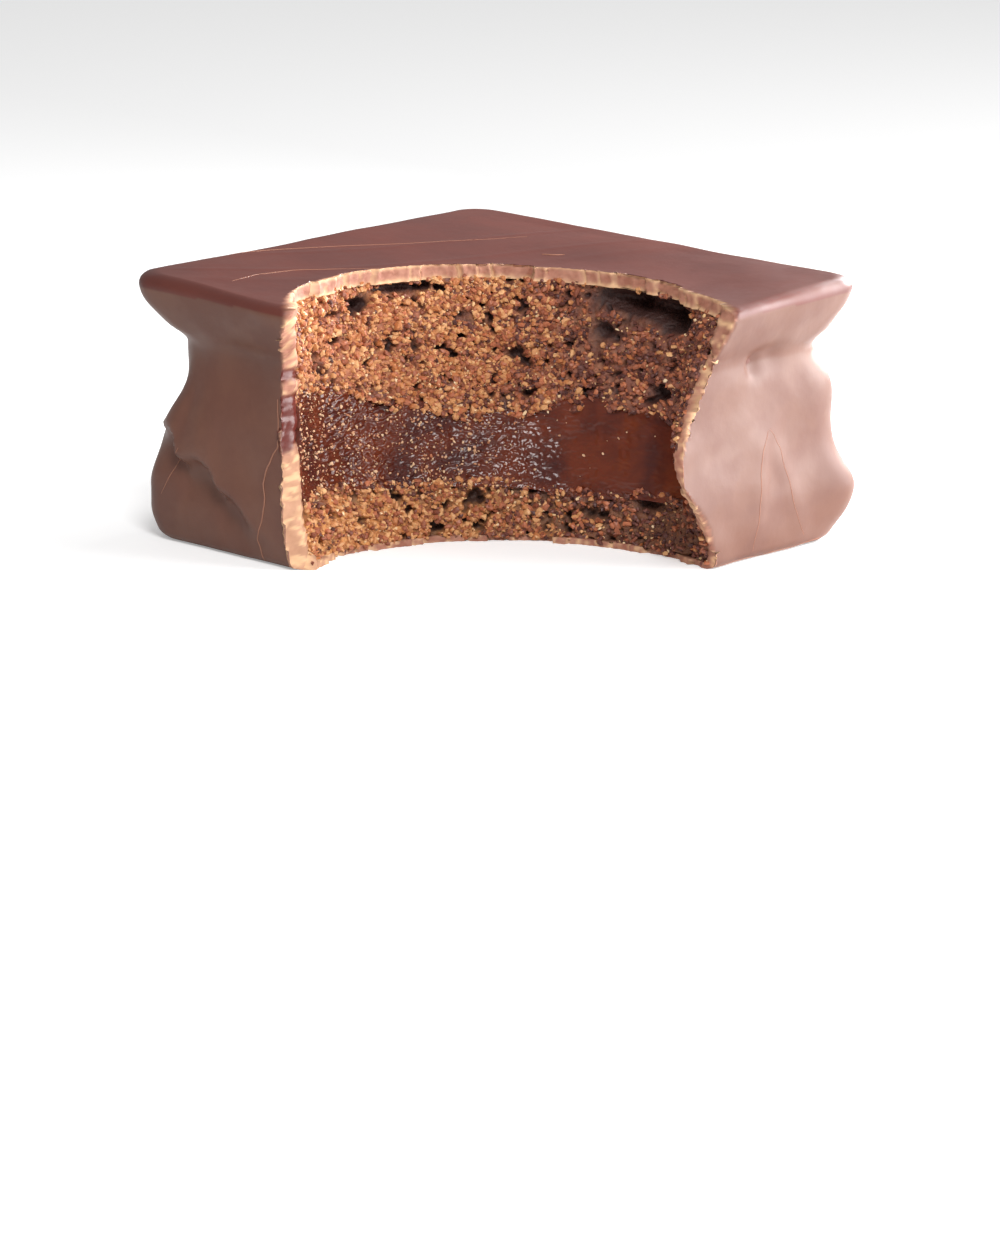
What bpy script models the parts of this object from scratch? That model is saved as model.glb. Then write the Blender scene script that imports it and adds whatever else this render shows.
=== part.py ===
"""A square alfajor: two soft biscuits with a filling, coated in chocolate, one corner bitten off.

Metres, +Z up. The origin is the middle of the flat underside, the sides run along X and Y, and
the bitten corner points to +X, -Y. Each layer is a solid of its own, with a hair's breadth between
neighbours.
"""

import math

import bmesh
import bpy
from mathutils import Vector

MM = 0.001

# Driving dimensions
HEIGHT = 29.0 * MM
TOP_COAT = 1.9 * MM
BASE_COAT = 0.6 * MM
BISCUIT_HALF = 24.5 * MM
BISCUIT_CORNER = 5.0 * MM
LAYER_GAP = 0.3 * MM
LOWER_BISCUIT_TOP = 6.0 * MM
FILLING_TOP = 14.4 * MM
TOP_SAG = 0.25 * MM

# The coated side from the base to the lip: height, half the width, radius of the corners.
SIDE_PROFILE = [
    (0.0 * MM, 26.3 * MM, 4.5 * MM),
    (1.0 * MM, 27.0 * MM, 4.0 * MM),
    (3.0 * MM, 27.5 * MM, 3.2 * MM),
    (6.5 * MM, 27.5 * MM, 3.0 * MM),
    (10.0 * MM, 27.0 * MM, 4.2 * MM),
    (15.0 * MM, 26.6 * MM, 5.5 * MM),
    (20.0 * MM, 26.2 * MM, 7.0 * MM),
    (22.5 * MM, 26.2 * MM, 7.0 * MM),
    (24.0 * MM, 27.1 * MM, 4.2 * MM),
    (25.5 * MM, 27.9 * MM, 2.0 * MM),
    (28.2 * MM, 28.1 * MM, 1.6 * MM),
    (29.0 * MM, 27.5 * MM, 1.7 * MM),
]

# Swellings (+) and hollows (-) of the coated sides: middle, spread and height.
LUMPS = [
    ((-14.0 * MM, -27.0 * MM, 20.5 * MM), 5.0 * MM, -0.9 * MM),
    ((-12.4 * MM, -27.0 * MM, 4.0 * MM), 4.5 * MM, 0.6 * MM),
    ((27.0 * MM, 13.4 * MM, 22.0 * MM), 3.0 * MM, -1.0 * MM),
    ((27.0 * MM, 7.7 * MM, 14.0 * MM), 5.0 * MM, 0.6 * MM),
    ((26.0 * MM, 26.0 * MM, 17.5 * MM), 5.5 * MM, 2.6 * MM),
    ((26.0 * MM, 26.0 * MM, 6.0 * MM), 4.5 * MM, 3.0 * MM),
    ((-26.0 * MM, -26.0 * MM, 7.0 * MM), 5.0 * MM, 0.8 * MM),
    ((8.0 * MM, 27.0 * MM, 19.0 * MM), 6.0 * MM, -0.9 * MM),
    ((-10.0 * MM, 27.0 * MM, 8.0 * MM), 7.0 * MM, 0.7 * MM),
    ((-27.0 * MM, 10.0 * MM, 18.0 * MM), 5.0 * MM, -0.9 * MM),
    ((-27.0 * MM, 18.0 * MM, 7.0 * MM), 6.0 * MM, 1.3 * MM),
]

# Ridges where the coating ran down before it set: upper end, lower end, spread and height.
RUNS = [
    ((-22.0 * MM, -27.0 * MM, 13.5 * MM), (-8.5 * MM, -27.0 * MM, 1.5 * MM), 2.6 * MM, 0.8 * MM),
    ((27.0 * MM, 12.0 * MM, 15.5 * MM), (27.0 * MM, 11.0 * MM, 5.5 * MM), 2.4 * MM, 0.4 * MM),
    ((27.0 * MM, 12.5 * MM, 15.0 * MM), (27.0 * MM, 17.0 * MM, 6.0 * MM), 2.4 * MM, 0.4 * MM),
    ((16.0 * MM, 27.0 * MM, 15.0 * MM), (7.0 * MM, 27.0 * MM, 2.0 * MM), 2.8 * MM, 0.8 * MM),
    ((-27.0 * MM, -14.0 * MM, 16.0 * MM), (-27.0 * MM, -3.0 * MM, 3.0 * MM), 2.8 * MM, 0.8 * MM),
]
RUN_STEP = 2.0 * MM

# Where the filling was spread thick (+) or thin (-): distance along the bite, spread and height.
FILLING_HEAPS = [
    (-22.0 * MM, 7.0 * MM, 3.6 * MM),
    (-1.0 * MM, 5.5 * MM, -1.4 * MM),
    (12.0 * MM, 5.0 * MM, 0.8 * MM),
]
BISCUIT_HEAPS = [
    (-21.0 * MM, 8.0 * MM, 1.2 * MM),
    (9.0 * MM, 5.0 * MM, -0.9 * MM),
]

# The bite is a leaning scoop: middle and radius at the base and at the top.
BITE_BASE = (20.9 * MM, -20.1 * MM)
BITE_TOP = (9.6 * MM, -10.6 * MM)
BITE_BASE_RADIUS = 26.7 * MM
BITE_TOP_RADIUS = 23.3 * MM
BITE_MARGIN = 2.0 * MM
# The scoop reaches out past the bitten corner, so that nothing of the corner stays.
BITE_OUTWARD = math.radians(-45.0)
BITE_OUTWARD_TURN = math.radians(35.0)
BITE_REACH = 14.0 * MM
# Where a tooth went deeper (+) or left a ridge (-): angle, height, their spreads and the depth.
TOOTH_MARKS = [
    (math.radians(57.0), 12.0 * MM, math.radians(16.0), 9.5 * MM, -6.2 * MM),
    (math.radians(40.0), 29.0 * MM, math.radians(18.0), 3.5 * MM, 2.2 * MM),
    (math.radians(120.0), 8.0 * MM, math.radians(9.0), 9.0 * MM, 0.5 * MM),
    (math.radians(160.0), 20.0 * MM, math.radians(9.0), 9.0 * MM, 0.5 * MM),
]

# How finely each solid is divided
COAT_ACROSS = 20
COAT_RINGS = 15
CORE_ACROSS = 12
BITE_SEGMENTS = 72
BITE_RINGS = 8
SMOOTH_ANGLE = math.radians(40.0)


def clear_scene():
    for item in list(bpy.data.objects):
        bpy.data.objects.remove(item, do_unlink=True)


def material(name, colour, roughness):
    """A plain material in one linear colour."""
    made = bpy.data.materials.new(name)
    made.use_nodes = True
    shader = made.node_tree.nodes["Principled BSDF"]
    shader.inputs["Base Color"].default_value = (*colour, 1.0)
    shader.inputs["Roughness"].default_value = roughness
    shader.inputs["Metallic"].default_value = 0.0
    return made


def chocolate():
    return material("milk_chocolate", (0.20, 0.077, 0.052), 0.4)


def baked_crumb():
    return material("baked_crumb", (0.39, 0.16, 0.07), 0.9)


def soft_filling():
    return material("soft_filling", (0.16, 0.047, 0.032), 0.3)


def bell(distance, spread):
    """A smooth hill: 1 in the middle, almost 0 at twice the spread."""
    return math.exp(-((distance / spread) ** 2))


def side_section(z):
    """Half the width and the corner radius of the coated side at one height."""
    for low, high in zip(SIDE_PROFILE, SIDE_PROFILE[1:]):
        if z <= high[0]:
            part = max(z - low[0], 0.0) / (high[0] - low[0])
            return [a + (b - a) * part for a, b in zip(low[1:], high[1:])]
    return list(SIDE_PROFILE[-1][1:])


def ring_height(part):
    """The height of a ring of the coating: closer together where the lip curves."""
    place = part * (len(SIDE_PROFILE) - 1)
    step = min(int(place), len(SIDE_PROFILE) - 2)
    low = SIDE_PROFILE[step][0]
    high = SIDE_PROFILE[step + 1][0]
    return low + (high - low) * (place - step)


def square_reach(angle, half, corner):
    """How far a square with round corners reaches from its middle, in one direction."""
    far = max(abs(math.cos(angle)), abs(math.sin(angle)))
    near = min(abs(math.cos(angle)), abs(math.sin(angle)))
    straight = half - corner
    if half * near / far <= straight:
        return half / far
    return straight * (far + near) + math.sqrt(corner**2 - (straight * (far - near)) ** 2)


def run_lumps():
    """Each ridge as a row of small swellings from its upper to its lower end."""
    for upper, lower, spread, height in RUNS:
        upper = Vector(upper)
        lower = Vector(lower)
        count = math.ceil((upper - lower).length / RUN_STEP) + 1
        share = height * RUN_STEP / (spread * math.sqrt(math.pi))
        for index in range(count):
            yield upper.lerp(lower, index / (count - 1)), spread, share


ALL_LUMPS = [(Vector(centre), spread, height) for centre, spread, height in LUMPS] + list(run_lumps())


def on_rounded_square(u, v, half, corner):
    """A place in the unit square, moved to its place in a square with round corners."""
    angle = math.atan2(v, u)
    reach = square_reach(angle, half, corner) * max(abs(u), abs(v))
    return Vector((reach * math.cos(angle), reach * math.sin(angle), 0.0))


def coat_place(u, v, part):
    """The outer face of the coating: lip, waist, bulge, lumps, and a top that sags slightly."""
    z = ring_height(part)
    half, corner = side_section(z)
    place = on_rounded_square(u, v, half, corner)
    place.z = z
    lump = sum(height * bell((place - centre).length, spread) for centre, spread, height in ALL_LUMPS)
    edge = max(abs(u), abs(v))
    if place.length > 0.0:
        outward = Vector((place.x, place.y, 0.0)).normalized()
        place += outward * lump * edge
    if part == 1.0:
        place.z -= TOP_SAG * (1.0 - edge) * (1.0 + math.cos(5.0 * u + 2.0 * v)) * 0.5
    return place


def core_place(low, high, inset):
    """A placing function for a layer of the inside, between two surfaces given as functions."""

    def place_corner(u, v, part):
        place = on_rounded_square(u, v, BISCUIT_HALF - inset, BISCUIT_CORNER - inset)
        place.z = low(place) + (high(place) - low(place)) * part
        return place

    return place_corner


def along_bite(place):
    """The distance along the bitten face, from its middle to one end."""
    return (place.x + place.y) / math.sqrt(2.0)


def heaped(level, heaps):
    """A surface at one level with heaps across the bite."""

    def surface(place):
        return level + sum(height * bell(along_bite(place) - middle, spread) for middle, spread, height in heaps)

    return surface


def level(z):
    return heaped(z, [])


def new_object(name, work, finish):
    """Turn the working mesh into a smooth-shaded object."""
    bmesh.ops.recalc_face_normals(work, faces=work.faces[:])
    mesh = bpy.data.meshes.new(name)
    work.to_mesh(mesh)
    work.free()
    mesh.shade_smooth()
    mesh.set_sharp_from_angle(angle=SMOOTH_ANGLE)
    if finish:
        mesh.materials.append(finish)
    made = bpy.data.objects.new(name, mesh)
    bpy.context.scene.collection.objects.link(made)
    return made


def cut_upright_edges(work, rings):
    upright = [edge for edge in work.edges if abs(edge.verts[0].co.z - edge.verts[1].co.z) > 0.5]
    bmesh.ops.subdivide_edges(work, edges=upright, cuts=rings - 1)


def block(name, across, rings, place, finish=None):
    """A slab divided into a grid and rings, whose corners are then moved to their places."""
    work = bmesh.new()
    bmesh.ops.create_grid(work, x_segments=across, y_segments=across, size=1.0)
    raised = bmesh.ops.extrude_face_region(work, geom=work.faces[:], use_keep_orig=True)
    corners = [item for item in raised["geom"] if isinstance(item, bmesh.types.BMVert)]
    bmesh.ops.translate(work, verts=corners, vec=(0.0, 0.0, 1.0))
    if rings > 1:
        cut_upright_edges(work, rings)
    for corner in work.verts:
        corner.co = place(*corner.co)
    # Facing surfaces get the same triangles, so that the gap between them stays even.
    bmesh.ops.triangulate(work, faces=work.faces[:], quad_method="SHORT_EDGE")
    return new_object(name, work, finish)


def turn_between(angle, other):
    return math.remainder(angle - other, 2.0 * math.pi)


def bite_radius(angle, z):
    radius = BITE_BASE_RADIUS + (BITE_TOP_RADIUS - BITE_BASE_RADIUS) * z / HEIGHT
    radius += BITE_REACH * bell(turn_between(angle, BITE_OUTWARD), BITE_OUTWARD_TURN)
    for mark_angle, mark_height, turn, rise, depth in TOOTH_MARKS:
        radius += depth * bell(turn_between(angle, mark_angle), turn) * bell(z - mark_height, rise)
    return radius


def bite_cutter():
    """The scoop that takes the corner off, a little taller than the cookie."""
    work = bmesh.new()
    bmesh.ops.create_cone(
        work, cap_ends=True, segments=BITE_SEGMENTS, radius1=1.0, radius2=1.0, depth=1.0
    )
    cut_upright_edges(work, BITE_RINGS)
    for corner in work.verts:
        z = -BITE_MARGIN + (HEIGHT + 2.0 * BITE_MARGIN) * (corner.co.z + 0.5)
        angle = math.atan2(corner.co.y, corner.co.x)
        middle = Vector(BITE_BASE).lerp(Vector(BITE_TOP), z / HEIGHT)
        radius = bite_radius(angle, z)
        corner.co = (middle.x + radius * math.cos(angle), middle.y + radius * math.sin(angle), z)
    return as_cutter(new_object("bite", work, None))


def as_cutter(tool):
    tool.hide_render = True
    tool.display_type = "WIRE"
    return tool


def cut(target, tool):
    """Take the tool's volume out of the target, in a Boolean modifier."""
    change = target.modifiers.new(tool.name, "BOOLEAN")
    change.operation = "DIFFERENCE"
    change.solver = "EXACT"
    change.object = tool


def build():
    clear_scene()
    bite = bite_cutter()
    base = level(BASE_COAT)
    roof = level(HEIGHT - TOP_COAT)
    biscuit_top = heaped(LOWER_BISCUIT_TOP, BISCUIT_HEAPS)
    filling_base = heaped(LOWER_BISCUIT_TOP + LAYER_GAP, BISCUIT_HEAPS)
    filling_top = heaped(FILLING_TOP, FILLING_HEAPS)
    upper_base = heaped(FILLING_TOP + LAYER_GAP, FILLING_HEAPS)
    core = as_cutter(block("core", CORE_ACROSS, 1, core_place(base, roof, 0.0)))

    coating = block("chocolate_coating", COAT_ACROSS, COAT_RINGS, coat_place, chocolate())
    cut(coating, core)
    cut(coating, bite)

    crumb = baked_crumb()
    floor = level(BASE_COAT + LAYER_GAP)
    ceiling = level(HEIGHT - TOP_COAT - LAYER_GAP)
    layers = [
        ("lower_biscuit", floor, biscuit_top, crumb),
        ("filling", filling_base, filling_top, soft_filling()),
        ("upper_biscuit", upper_base, ceiling, crumb),
    ]
    for name, low, high, finish in layers:
        layer = block(name, CORE_ACROSS, 1, core_place(low, high, LAYER_GAP), finish)
        cut(layer, bite)


build()
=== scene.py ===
# %% [markdown]
# # A chocolate-coated alfajor with a bite out of one corner
# The cookie is a sandwich: a thin lower biscuit, a soft dark filling and a thick upper biscuit,
# all dipped in chocolate. The solids from the frame give the sizes and places. Each of them is
# replaced here by a finely divided piece of the same size, with the lumps, cracks, crumbs and
# shine of the real thing.

# %% Load the frame
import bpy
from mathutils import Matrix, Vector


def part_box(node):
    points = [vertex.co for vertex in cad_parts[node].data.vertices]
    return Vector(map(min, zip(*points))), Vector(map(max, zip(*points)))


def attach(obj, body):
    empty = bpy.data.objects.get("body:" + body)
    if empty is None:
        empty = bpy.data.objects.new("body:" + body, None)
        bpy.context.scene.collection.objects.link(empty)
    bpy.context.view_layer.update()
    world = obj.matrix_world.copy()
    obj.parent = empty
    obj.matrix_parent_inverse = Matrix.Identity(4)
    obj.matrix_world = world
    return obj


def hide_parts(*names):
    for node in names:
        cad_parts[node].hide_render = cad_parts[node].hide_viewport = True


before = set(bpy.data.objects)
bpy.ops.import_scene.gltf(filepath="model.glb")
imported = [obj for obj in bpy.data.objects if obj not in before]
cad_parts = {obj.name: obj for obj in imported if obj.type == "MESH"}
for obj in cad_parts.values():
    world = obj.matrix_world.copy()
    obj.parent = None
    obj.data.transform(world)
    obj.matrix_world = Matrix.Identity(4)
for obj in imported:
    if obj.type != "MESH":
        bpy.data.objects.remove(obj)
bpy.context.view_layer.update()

import math
import random

import bmesh
import bpy
import numpy as np
from mathutils import Matrix, Vector, noise
from mathutils.bvhtree import BVHTree

MM = 0.001

# %% [markdown]
# ## Sizes
# The frame gives the height and how thick each layer is. The outline in section, with its
# overhanging lip, narrow waist and swollen foot, is what gives a dipped cookie its look: the
# chocolate runs down the sides, thins out below the top edge and gathers at the bottom.

# %% Driving sizes
COAT_LOW, COAT_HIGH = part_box("chocolate_coating")
UPPER_LOW, UPPER_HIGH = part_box("upper_biscuit")
LOWER_LOW, LOWER_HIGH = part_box("lower_biscuit")
HEIGHT = COAT_HIGH.z - COAT_LOW.z
GAP = 0.3 * MM
BASE_COAT = LOWER_LOW.z - GAP
ROOF = UPPER_HIGH.z + GAP + 0.25 * MM
CRUMB_HALF = 25.6 * MM
SIDE_COAT = 1.6 * MM
CRUMB_SHIFT = 0.5 * MM
BISCUIT_CORNER = 5.0 * MM
LOWER_BISCUIT_TOP = 6.0 * MM
FILLING_TOP = 14.4 * MM
TOP_EDGE_RADIUS = 1.5 * MM
TOP_RISE = 0.8 * MM
FOOT_RADIUS = 1.0 * MM

# Height above the base, half the width across the flats, radius of the corners.
SIDE_PROFILE = np.array([
    (0.0, 27.0, 4.0),
    (3.0, 27.4, 3.2),
    (6.5, 27.4, 3.0),
    (10.0, 27.1, 4.2),
    (15.0, 26.8, 5.0),
    (20.0, 26.4, 6.2),
    (22.6, 26.2, 6.8),
    (23.6, 26.9, 5.2),
    (26.6, 28.3, 2.9),
    (29.0, 28.9, 3.2),
]) * MM
PROFILE_SOFTNESS = 0.7 * MM
print("height", round(HEIGHT / MM, 1), "mm, roof of the crumb at", round(ROOF / MM, 1), "mm")

# %% Small helpers for shapes
def bell(distance, spread):
    """A smooth hill: 1 in the middle, almost 0 at twice the spread."""
    return np.exp(-((distance / spread) ** 2))


def side_section(z):
    """Half the width and corner radius at each height, with the kinks of the profile smoothed."""
    shifts = np.linspace(-PROFILE_SOFTNESS, PROFILE_SOFTNESS, 7)
    half = sum(np.interp(z + shift, SIDE_PROFILE[:, 0], SIDE_PROFILE[:, 1]) for shift in shifts) / 7
    corner = sum(np.interp(z + shift, SIDE_PROFILE[:, 0], SIDE_PROFILE[:, 2]) for shift in shifts) / 7
    return half, corner


def rounded_square(u, v, half, corner):
    """Places in the unit square, moved to their places in a square with round corners."""
    angle = np.arctan2(v, u)
    far = np.maximum(abs(np.cos(angle)), abs(np.sin(angle)))
    near = np.minimum(abs(np.cos(angle)), abs(np.sin(angle)))
    straight = half - corner
    arc = np.sqrt(np.maximum(corner**2 - (straight * (far - near)) ** 2, 0.0))
    reach = np.where(half * near / far <= straight, half / far, straight * (far + near) + arc)
    reach = reach * np.maximum(abs(u), abs(v))
    return reach * np.cos(angle), reach * np.sin(angle)


def corners_of(work):
    return np.array([corner.co[:] for corner in work.verts])


def set_corners(work, places):
    for corner, place in zip(work.verts, places):
        corner.co = place


def noise_at(places, size, seed=0, octaves=1):
    """Smooth noise from -1 to 1 at each place; size is how far apart its hills lie."""
    shift = Vector((seed * 7.13, seed * 3.71, seed * 5.37))
    if octaves == 1:
        return np.array([noise.noise(Vector(place) / size + shift) for place in places])
    return np.array([noise.fractal(Vector(place) / size + shift, 0.9, 2.0, octaves) for place in places])


def grains_at(places, size, seed=0):
    """For grains of one size: how near a place is to its grain's middle, and the grain's own number."""
    shift = Vector((seed * 7.13, seed * 3.71, seed * 5.37))
    roundness = []
    number = []
    for place in places:
        distances, middles = noise.voronoi(Vector(place) / size + shift)
        roundness.append(min((distances[1] - distances[0]) * 1.6, 1.0))
        number.append(noise.cell(middles[0] * 31.7))
    return np.array(roundness), np.array(number)


# %% Turning a working mesh into a piece
def new_piece(name, work, material=None):
    """A smooth object at the origin, from a working mesh."""
    bmesh.ops.recalc_face_normals(work, faces=work.faces[:])
    mesh = bpy.data.meshes.new(name)
    work.to_mesh(mesh)
    work.free()
    mesh.shade_smooth()
    if material:
        mesh.materials.append(material)
    piece = bpy.data.objects.new(name, mesh)
    bpy.context.scene.collection.objects.link(piece)
    return piece


def block(name, across, rings, place, plain_floor=False):
    """A slab of a fine grid: place() takes arrays of u, v from -1 to 1 and w from 0 to 1."""
    work = bmesh.new()
    bmesh.ops.create_grid(work, x_segments=across, y_segments=across, size=1.0)
    raised = bmesh.ops.extrude_face_region(work, geom=work.faces[:], use_keep_orig=True)
    upper = [item for item in raised["geom"] if isinstance(item, bmesh.types.BMVert)]
    bmesh.ops.translate(work, verts=upper, vec=(0.0, 0.0, 1.0))
    upright = [edge for edge in work.edges if abs(edge.verts[0].co.z - edge.verts[1].co.z) > 0.5]
    if rings > 1:
        bmesh.ops.subdivide_edges(work, edges=upright, cuts=rings - 1)
    if plain_floor:
        floor = [face for face in work.faces if max(corner.co.z for corner in face.verts) < 0.001]
        bmesh.ops.dissolve_faces(work, faces=floor, use_verts=True)
    u, v, w = corners_of(work).T
    set_corners(work, np.array(place(u, v, w)).T)
    bmesh.ops.triangulate(work, faces=work.faces[:])
    return new_piece(name, work)


def cut(piece, tool):
    """Take the tool's volume out of the piece, and keep only the result."""
    change = piece.modifiers.new("cut", "BOOLEAN")
    change.operation = "DIFFERENCE"
    change.solver = "MANIFOLD"
    change.object = tool
    finish_modifiers(piece)


def finish_modifiers(piece):
    """Replace the piece's mesh by what its modifiers make of it."""
    seen = piece.evaluated_get(bpy.context.evaluated_depsgraph_get())
    mesh = bpy.data.meshes.new_from_object(seen)
    piece.modifiers.clear()
    piece.data = mesh
    mesh.name = piece.name


def count(piece):
    return sum(len(face.vertices) - 2 for face in piece.data.polygons)


# %% [markdown]
# ## The bite
# A bite is a leaning scoop: the top arc of teeth cuts deeper than the lower one, so the cut face
# slopes outwards to the foot. The tool that makes it is a cylinder whose rings are moved to
# circles of changing middle and radius. Its segments crowd together on the side that meets the
# cookie, where the cut face needs fine faces for its crumbs.

# %% The bite's scoop
BITE_BASE = Vector((20.9, -20.1)) * MM
BITE_TOP = Vector((9.6, -10.6)) * MM
BITE_BASE_RADIUS = 26.7 * MM
BITE_TOP_RADIUS = 23.3 * MM
BITE_INWARD = math.radians(135.0)
BITE_REACH = 14.0 * MM
# Where a tooth went deeper (+) or left a ridge (-): angle, height, their spreads and the depth.
TOOTH_MARKS = [
    (math.radians(57.0), 12.0 * MM, math.radians(16.0), 9.5 * MM, -6.2 * MM),
    (math.radians(40.0), 29.0 * MM, math.radians(18.0), 3.5 * MM, 2.2 * MM),
    (math.radians(120.0), 8.0 * MM, math.radians(9.0), 9.0 * MM, 0.5 * MM),
    (math.radians(160.0), 20.0 * MM, math.radians(9.0), 9.0 * MM, 0.5 * MM),
]


def turn_between(angle, other):
    return (angle - other + math.pi) % (2.0 * math.pi) - math.pi


def bite_middle(z):
    part = z / HEIGHT
    x = BITE_BASE.x + (BITE_TOP.x - BITE_BASE.x) * part
    y = BITE_BASE.y + (BITE_TOP.y - BITE_BASE.y) * part
    return x, y


def bite_radius(angle, z):
    radius = BITE_BASE_RADIUS + (BITE_TOP_RADIUS - BITE_BASE_RADIUS) * z / HEIGHT
    radius = radius + BITE_REACH * bell(turn_between(angle, BITE_INWARD + math.pi), math.radians(35.0))
    for mark_angle, mark_height, turn, rise, depth in TOOTH_MARKS:
        radius = radius + depth * bell(turn_between(angle, mark_angle), turn) * bell(z - mark_height, rise)
    return radius


def bite_tool(segments, rings, low, high):
    work = bmesh.new()
    bmesh.ops.create_cone(work, cap_ends=True, segments=segments, radius1=1.0, radius2=1.0, depth=1.0)
    upright = [edge for edge in work.edges if abs(edge.verts[0].co.z - edge.verts[1].co.z) > 0.5]
    bmesh.ops.subdivide_edges(work, edges=upright, cuts=rings - 1)
    x, y, part = corners_of(work).T
    z = low + (high - low) * (part + 0.5)
    even = np.arctan2(y, x)
    angle = even - 0.6 * np.sin(even - BITE_INWARD)
    middle_x, middle_y = bite_middle(z)
    radius = bite_radius(angle, z)
    set_corners(work, np.array((middle_x + radius * np.cos(angle), middle_y + radius * np.sin(angle), z)).T)
    return new_piece("bite", work)


def depth_in_bite(places):
    """How far inside the scoop each place is (+) or outside it (-), with the angle and height."""
    x, y, z = places.T
    middle_x, middle_y = bite_middle(z)
    angle = np.arctan2(y - middle_y, x - middle_x)
    distance = np.hypot(x - middle_x, y - middle_y)
    return bite_radius(angle, z) - distance, angle, z


def end_bevel(wall):
    """The coating snapped square to its own faces, so both ends of the cut face turn outwards."""
    x, y, z = wall.T
    half, corner = side_section(z)
    from_left_face = np.maximum(y + half, 0.0)
    from_right_face = np.maximum(half - x, 0.0)
    left = 1.5 * MM * np.clip(from_left_face / SIDE_COAT, 0.0, 1.0) * np.exp(-from_left_face / (5.0 * MM))
    right = 0.8 * MM * np.clip(from_right_face / SIDE_COAT, 0.0, 1.0) * np.exp(-from_right_face / (4.0 * MM))
    return 1.4 * (left + right)


def push_wall(piece, relief):
    """Move the corners on the bitten face along its normal; relief() gives how far, towards the mouth."""
    places = np.array([corner.co[:] for corner in piece.data.vertices])
    depth, angle, z = depth_in_bite(places)
    on_wall = abs(depth) < 0.02 * MM
    wall = places[on_wall]
    amount = relief(wall, angle[on_wall]) + end_bevel(wall)
    middle_x, middle_y = bite_middle(wall[:, 2])
    towards = np.array((middle_x - wall[:, 0], middle_y - wall[:, 1], np.zeros(len(wall)))).T
    towards /= np.linalg.norm(towards, axis=1)[:, None]
    wall = wall + towards * amount[:, None]
    wall[:, 2] = np.maximum(wall[:, 2], 0.0)
    places[on_wall] = wall
    piece.data.vertices.foreach_set("co", places.ravel())
    piece.data.update()
    return on_wall, amount


def along_bite(place):
    """Distance along the bitten face in mm, from its middle; - is towards the thick filling."""
    return (place[0] + place[1]) / math.sqrt(2.0) / MM


def mark(piece, name, values):
    """Keep one number for each corner of the piece, for its material to read."""
    piece.data.attributes.new(name, "FLOAT", "POINT").data.foreach_set("value", np.asarray(values, dtype=float))


# %% [markdown]
# ## The chocolate coating
# The coating set while it was still running. It hangs over at the lip, thins at the waist, runs
# down in soft ridges and pools at the foot. It starts as a fine slab whose grid is moved to the
# profile, and then swells and sinks at chosen places. A ridge is a row of small swellings.

# %% Swellings and runs of the coating
LUMPS = [
    ((-13.5, -27.0, 21.0), 5.0, -1.0),
    ((-21.0, -27.0, 21.5), 2.6, -0.7),
    ((-11.5, -27.0, 2.5), 4.0, 0.5),
    ((-16.0, -27.0, 15.0), 5.0, 0.8),
    ((-26.0, -26.0, 17.5), 4.6, -1.5),
    ((27.0, 12.9, 21.8), 1.3, -1.3),
    ((27.0, 15.3, 22.4), 1.6, -0.6),
    ((27.0, 7.7, 14.0), 5.0, -0.3),
    ((26.0, 26.0, 18.0), 4.2, 2.4),
    ((26.0, 26.0, 12.5), 3.0, 0.5),
    ((26.0, 26.0, 6.0), 4.5, 3.0),
    ((8.0, 27.0, 19.0), 6.0, -0.9),
    ((-10.0, 27.0, 8.0), 7.0, 0.7),
    ((-27.0, 10.0, 18.0), 5.0, -0.9),
    ((-27.0, 18.0, 7.0), 6.0, 1.3),
]
RUNS = [
    ((27.0, 13.3, 14.0), (27.0, 12.5, 4.0), 1.5, 0.3),
    ((27.0, 15.0, 14.0), (27.0, 20.5, 1.5), 1.5, 0.3),
    ((16.0, 27.0, 15.0), (7.0, 27.0, 2.0), 2.2, 0.9),
    ((-27.0, -14.0, 16.0), (-27.0, -3.0, 3.0), 2.2, 0.9),
]
RUN_STEP = 1.0


def all_lumps():
    for centre, spread, height in LUMPS:
        yield Vector(centre) * MM, spread * MM, height * MM
    for upper, lower, spread, height in RUNS:
        upper = Vector(upper)
        lower = Vector(lower)
        steps = math.ceil((upper - lower).length / RUN_STEP) + 1
        share = height * RUN_STEP / (spread * math.sqrt(math.pi))
        for index in range(steps):
            yield upper.lerp(lower, index / (steps - 1)) * MM, spread * MM, share * MM


# %% Folds of the coating
def step(distance, width):
    """0 on one side and 1 on the other, with a soft change of the given width."""
    return 1.0 / (1.0 + np.exp(-np.clip(distance / width, -40.0, 40.0)))


def curtain(places):
    """A thick fold that ran down one side: gentle above its crest and steep below it."""
    x, y, z = places.T / MM
    crest = np.interp(x, [-27.0, -21.8, -20.7, -16.2, -14.8, -11.7, -8.0], [14.0, 12.4, 10.6, 10.0, 7.7, 6.0, 3.0])
    crest = crest + 0.3 * np.sin(x * 1.3)
    above = np.maximum(z - crest, 0.0)
    below = np.maximum(crest - z, 0.0)
    fold = 1.3 * bell(above, 4.0) * bell(below, 0.9) - 0.9 * bell(below - 2.8, 2.2) * step(below - 0.4, 0.25)
    on_side = step(-25.0 - y, 0.4) * step(x + 26.0, 1.0) * step(-12.0 - x, 1.6)
    return fold * on_side * MM


def corner_foot(places):
    """The foot that stands out at one corner, with a sharp shoulder above it."""
    x, y, z = places.T / MM
    near = bell(np.hypot(x + 27.0, y + 27.0), 6.0)
    return 0.4 * near * step(13.2 + 0.3 * (y - x) - z, 0.35) * step(z - 0.5, 0.8) * MM


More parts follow.
